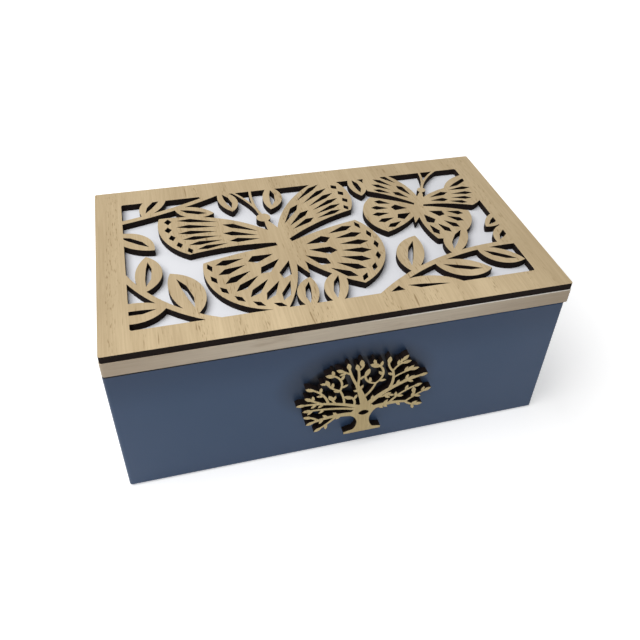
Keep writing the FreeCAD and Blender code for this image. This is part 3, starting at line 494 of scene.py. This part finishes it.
def rail_marks_and_highlight_group():
    """Brown smudges, browner ends and a painted highlight on the upper edge, over the colour of a rail's
    wood.
    """
    tree, given, out = new_group("rail_marks_and_highlight", {"Place": "v", "Wood": "c"}, {"Colour": "c"})
    place = add(tree, "ShaderNodeSeparateXYZ", {0: given["Place"]}).outputs
    smudges = noise(tree, given["Place"], SMUDGES_PER_METRE, 3.0)
    spots = stretched(tree, smudges, 0.58, 0.74, 0.0, SPOT_SHARE)
    # the rail goes browner towards both ends
    ends = stretched(tree, maths(tree, "ABSOLUTE", place["X"]), *BROWNER_ENDS, 0.0, END_SHARE)
    # painted highlight: a pale line on the eased upper edge, fading in towards the right
    highlight_at_edge = maths(tree, "MULTIPLY", maths(tree, "GREATER_THAN", place["Z"], rail_top - EASED_EDGE),
                    stretched(tree, place["X"], *HIGHLIGHT_FADE))
    colour = mixed(tree, maths(tree, "MAXIMUM", spots, ends), given["Wood"], RAIL_BROWN)
    tree.links.new(mixed(tree, highlight_at_edge, colour, PAINTED_HIGHLIGHT), out["Colour"])
    return tree


RAIL_MARKS_AND_HIGHLIGHT = rail_marks_and_highlight_group()
print("group:", RAIL_MARKS_AND_HIGHLIGHT.name)

# %% Bare wood materials
BARE_RELIEF = 0.03 * MM
RAIL = {"light": srgb(216, 202, 181), "dark": srgb(154, 138, 118), "handled": RAIL_MARKS_AND_HIGHLIGHT,
        "Bands": 0.22, "Fibres": 0.20, "Pores": 0.18}
BOARD = {"light": BOARD_LIGHT, "dark": BOARD_DARK, **BOARD_GRAIN}


def bare_wood(name, turn, light, dark, handled=None, **grain):
    """Sanded wood without a finish, with its grain turned along the board, and marks and a painted highlight
    from a group.
    """
    material, tree, shader, coordinates = new_material(name)
    wood = use(tree, WOOD_GRAIN, Place=turned(tree, coordinates["Object"], turn),
               Light=light, Dark=dark, **grain)
    colour = wood["Colour"]
    if handled:
        colour = use(tree, handled, Place=coordinates["Object"], Wood=colour)["Colour"]
    finish_surface(tree, shader, colour, wood["Roughness"], wood["Height"], BARE_RELIEF)
    shader.inputs["Specular IOR Level"].default_value = SATIN_SHINE
    return material


dress(["lid_front_rail", "lid_back_rail"], bare_wood("long_rail_wood", (0, 0, 0), **RAIL))
dress(["lid_left_rail", "lid_right_rail"], bare_wood("short_rail_wood", (0, 0, 90), **RAIL))
dress(["bottom_panel"], bare_wood("plain_board", (0, 0, 0), **BOARD))
print("bare wood on 4 rails and the bottom")

# %% [markdown]
# ## The white board
# Behind the cut-out panel lies a board with flat white paint, which is what makes its outlines stand out.
# It takes the same paint group as the walls, in white and with a dull surface.

# %% White board material
WHITE_RELIEF = 0.015 * MM

white_board, tree, shader, coordinates = new_material("white_board")
paint = use(tree, PAINT_COAT, Place=coordinates["Object"], Thin=srgb(228, 229, 234),
            Thick=srgb(234, 235, 239), Smooth=0.62, Rough=0.75)
finish_surface(tree, shader, paint["Colour"], paint["Roughness"], paint["Height"], WHITE_RELIEF)
dress(["lid_board"], white_board)
print("white board:", white_board.name)

# %% [markdown]
# ## Brass
# The back doesn't show in the photograph, so the hinges are the plain brass ones that such boxes often have.
# They are stamped from thin sheet, with a soft shine, faint scratches and a little tarnish. A metal's colour
# is its reflection, so Metallic is 1 and the noise works on the colour and the roughness.

# %% Brass material
TARNISH_PER_METRE = (260, 260, 260)
SCRATCHES_PER_METRE = (250, 2600, 2600)
BRIGHT_BRASS, DULL_BRASS = srgb(206, 180, 122), srgb(168, 138, 84)
BRASS_ROUGHNESS = 0.24, 0.42
BRASS_RELIEF = 0.01 * MM

brass, tree, shader, coordinates = new_material("hinge_brass")
tarnish = stretched(tree, noise(tree, coordinates["Object"], TARNISH_PER_METRE, 3.0), 0.35, 0.75)
scratches = noise(tree, coordinates["Object"], SCRATCHES_PER_METRE, 2.0)
finish_surface(tree, shader, mixed(tree, tarnish, BRIGHT_BRASS, DULL_BRASS),
               stretched(tree, scratches, 0.2, 0.8, *BRASS_ROUGHNESS), scratches, BRASS_RELIEF)
shader.inputs["Metallic"].default_value = 1.0
hinge_nodes = [name for name in nodes if "hinge" in name]
dress(hinge_nodes, brass)
print("brass on", len(hinge_nodes), "nodes")

# %% [markdown]
# ## The hinge tacks
# Each hinge leaf is held by two tacks with domed heads. The CAD model has plain faceted heads, which keeps
# it light. A ready-made ball could be squashed into a dome, but a surface of revolution gives head and shank
# in one skin: one profile, from the point of the shank up to the top of the head, turned round the tack's
# axis. All four tacks of a row are one sum over three axes of an array. At both ends of the profile a whole
# ring falls on the axis, and its points are joined to close the shape.

# %% Tack profile
DOME_STEPS = 7
RIM_SHARE = 0.25
POINT_SHARE = 0.25


def tack_profile(head_radius, head_height, shank_radius, shank_length):
    """Radius and height over the leaf from the shank's point: cone, rod, rim and a quarter ellipse."""
    rim = RIM_SHARE * head_height
    rod_end = -(1 - POINT_SHARE) * shank_length
    turn = np.linspace(0, np.pi / 2, DOME_STEPS)
    radius = np.r_[0, shank_radius, shank_radius, head_radius, head_radius * np.cos(turn)]
    height = np.r_[-shank_length, rod_end, 0, 0, rim + (head_height - rim) * np.sin(turn)]
    return radius, height


print("steps up the dome:", DOME_STEPS)

# %% Rows of tacks
TACK_SECTORS = 32
MERGE_REACH = 0.0001 * MM


def merge_points(mesh):
    """Joins points that lie in one place, as a ring of no radius does at each end of a turned shape."""
    net = bmesh.new()
    net.from_mesh(mesh)
    bmesh.ops.remove_doubles(net, verts=net.verts, dist=MERGE_REACH)
    net.to_mesh(mesh)
    net.free()


def tack_row(name, centres, leaf_face, profile):
    """Tacks that point along -Y: profile radius times cosine and sine about each centre, height along Y."""
    radius, height = profile
    angle = 2 * np.pi * np.arange(TACK_SECTORS) / TACK_SECTORS
    x = centres[:, 0, None, None] + radius[:, None] * np.cos(angle)
    z = centres[:, 1, None, None] + radius[:, None] * np.sin(angle)
    y = np.broadcast_to(leaf_face + height[:, None], x.shape)
    points = np.stack([x, y, z], axis=-1)
    index = np.arange(x.size).reshape(x.shape)
    after = np.roll(index, -1, axis=2)
    quads = np.stack([index[:, :-1], index[:, 1:], after[:, 1:], after[:, :-1]], axis=-1)
    mesh = bpy.data.meshes.new(name)
    mesh.from_pydata(points.reshape(-1, 3).tolist(), [], quads.reshape(-1, 4).tolist())
    merge_points(mesh)
    mesh.materials.append(brass)
    return bpy.data.objects.new(name, mesh)


print("sectors round each tack:", TACK_SECTORS)

# %% Domed tacks
SHANK_SHARE = 0.36
LEAF_THICKNESS = 0.8 * MM


def make_tacks(node, body, leaf_nodes):
    """Domed tacks in place of one node of plain ones, placed by its box and by the leaves that they hold."""
    low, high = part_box(node)
    leaf_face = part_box(leaf_nodes[0])[0].y + LEAF_THICKNESS
    head_radius = (high.z - low.z) / 2
    profile = tack_profile(head_radius, high.y - leaf_face, SHANK_SHARE * head_radius, leaf_face - low.y)
    middles = np.array([sum(corner.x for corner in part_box(leaf)) / 2 for leaf in leaf_nodes])
    reach = middles[0] - low.x - head_radius
    places = np.concatenate([middles - reach, middles + reach])
    centres = np.stack([places, np.full(places.shape, (low.z + high.z) / 2)], axis=-1)
    tacks = tack_row(f"{node}_domed", centres, leaf_face, profile)
    tacks.data.shade_smooth()
    bpy.context.scene.collection.objects.link(tacks)
    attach(tacks, body)
    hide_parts(node)
    return tacks


for body in ("case", "lid"):
    leaves = [f"{side}_hinge_{body}_leaf" for side in ("left", "right")]
    tacks = make_tacks(f"{body}_hinge_tacks", body, leaves)
    print(tacks.name, len(tacks.data.polygons), "faces")

# %% [markdown]
# ## Floor and sky
# The photographed box stands before plain white. Here a white floor carries it, with a soft shadow, and the
# sky is white too. The white comes from a glow of floor and sky that only the camera and reflections see, and
# not from more light on the box, so the colours above render about as they are written. The glow grows with
# the distance, which keeps the shadow near the box and lets the floor go over into the sky.


# %% Floor finish
FLOOR_COLOUR = (0.88, 0.88, 0.88, 1.0)
NEAR_GLOW, FAR_GLOW = 0.48, 0.80
NEAR_REACH, FAR_REACH = 0.14, 0.45


def seen_directly(tree):
    """1 for a ray from the camera, off a gloss or through glass, else 0."""
    path = tree.nodes.new("ShaderNodeLightPath").outputs
    shiny = maths(tree, "MAXIMUM", path["Is Glossy Ray"], path["Is Transmission Ray"])
    return maths(tree, "MAXIMUM", path["Is Camera Ray"], shiny)


floor_white, tree, shader, coordinates = new_material("floor_white")
tree.nodes.remove(shader)
diffuse = add(tree, "ShaderNodeBsdfDiffuse", {"Color": FLOOR_COLOUR})
distance = add(tree, "ShaderNodeVectorMath", {0: coordinates["Object"]}, operation="LENGTH").outputs["Value"]
glow_here = stretched(tree, distance, NEAR_REACH, FAR_REACH, NEAR_GLOW, FAR_GLOW)
glow = add(tree, "ShaderNodeEmission", {"Strength": maths(tree, "MULTIPLY", seen_directly(tree), glow_here)})
both = add(tree, "ShaderNodeAddShader", {0: diffuse.outputs[0], 1: glow.outputs[0]})
tree.links.new(both.outputs[0], tree.nodes["Material Output"].inputs["Surface"])
print("floor finish:", floor_white.name)

# %% Floor disc
FLOOR_RADIUS = 3.0
FLOOR_RINGS = 24
FLOOR_SECTORS = 96
FLOOR_DROP = 0.05 * MM


def disc_mesh(name, radius, rings, sectors, height):
    """A flat disc: the radius times the square of a ring's share, along the cosine and sine of a sector."""
    ring, sector = np.meshgrid(np.arange(1, rings + 1), np.arange(sectors), indexing="ij")
    reach = radius * (ring / rings) ** 2
    angle = 2 * np.pi * sector / sectors
    rim = np.stack([reach * np.cos(angle), reach * np.sin(angle), np.full(reach.shape, height)], axis=-1)
    points = np.vstack([[[0, 0, height]], rim.reshape(-1, 3)])
    index = 1 + np.arange(rings * sectors).reshape(rings, sectors)
    after = np.roll(index, -1, axis=1)
    quads = np.stack([index[:-1], index[1:], after[1:], after[:-1]], axis=-1).reshape(-1, 4)
    hub = np.stack([np.zeros(sectors, int), index[0], after[0]], axis=-1)
    mesh = bpy.data.meshes.new(name)
    mesh.from_pydata(points.tolist(), [], hub.tolist() + quads.tolist())
    return mesh


floor_mesh = disc_mesh("floor", FLOOR_RADIUS, FLOOR_RINGS, FLOOR_SECTORS, -FLOOR_DROP)
floor_mesh.materials.append(floor_white)
floor = bpy.data.objects.new("floor", floor_mesh)
bpy.context.scene.collection.objects.link(floor)
print("floor:", len(floor.data.polygons), "faces")

# %% Sky
SKY_LIGHT = 0.18

world = bpy.data.worlds.new("studio")
world.use_nodes = True
bpy.context.scene.world = world
sky = world.node_tree.nodes["Background"]
sky.inputs["Color"].default_value = (1.0, 1.0, 1.0, 1.0)
strength = maths(world.node_tree, "MAXIMUM", seen_directly(world.node_tree), SKY_LIGHT)
world.node_tree.links.new(strength, sky.inputs["Strength"])
print("sky light:", SKY_LIGHT)

# %% [markdown]
# ## Lamps
# Two square lamps do the rest. The large one hangs high at the left, lights the lid and lays the soft shadow
# to the right. The weak one stands low in front and lifts the blue a little. Small lamps would give hard
# shadows in the cut-outs, so both are wide, and each is turned to look at the middle of the box.

# %% Two soft lamps
LAMPS = {
    "key": {"place": (-0.42, -0.06, 0.90), "side": 0.9, "power": 9.1},
    "low_fill": {"place": (-0.12, -0.9, 0.06), "side": 0.5, "power": 0.84},
}
BOX_MIDDLE = Vector((0.0, 0.0, 0.05))

for name, lamp in LAMPS.items():
    light = bpy.data.lights.new(name, "AREA")
    light.size = lamp["side"]
    light.energy = lamp["power"]
    stand = bpy.data.objects.new(name, light)
    stand.location = lamp["place"]
    away = stand.location - BOX_MIDDLE
    stand.rotation_euler = away.to_track_quat("Z", "Y").to_euler()
    bpy.context.scene.collection.objects.link(stand)
print("lamps:", ", ".join(LAMPS))

# %% [markdown]
# ## The end
# The last cell says that the script has run to its end.

# %% The end
print("end of the scene")
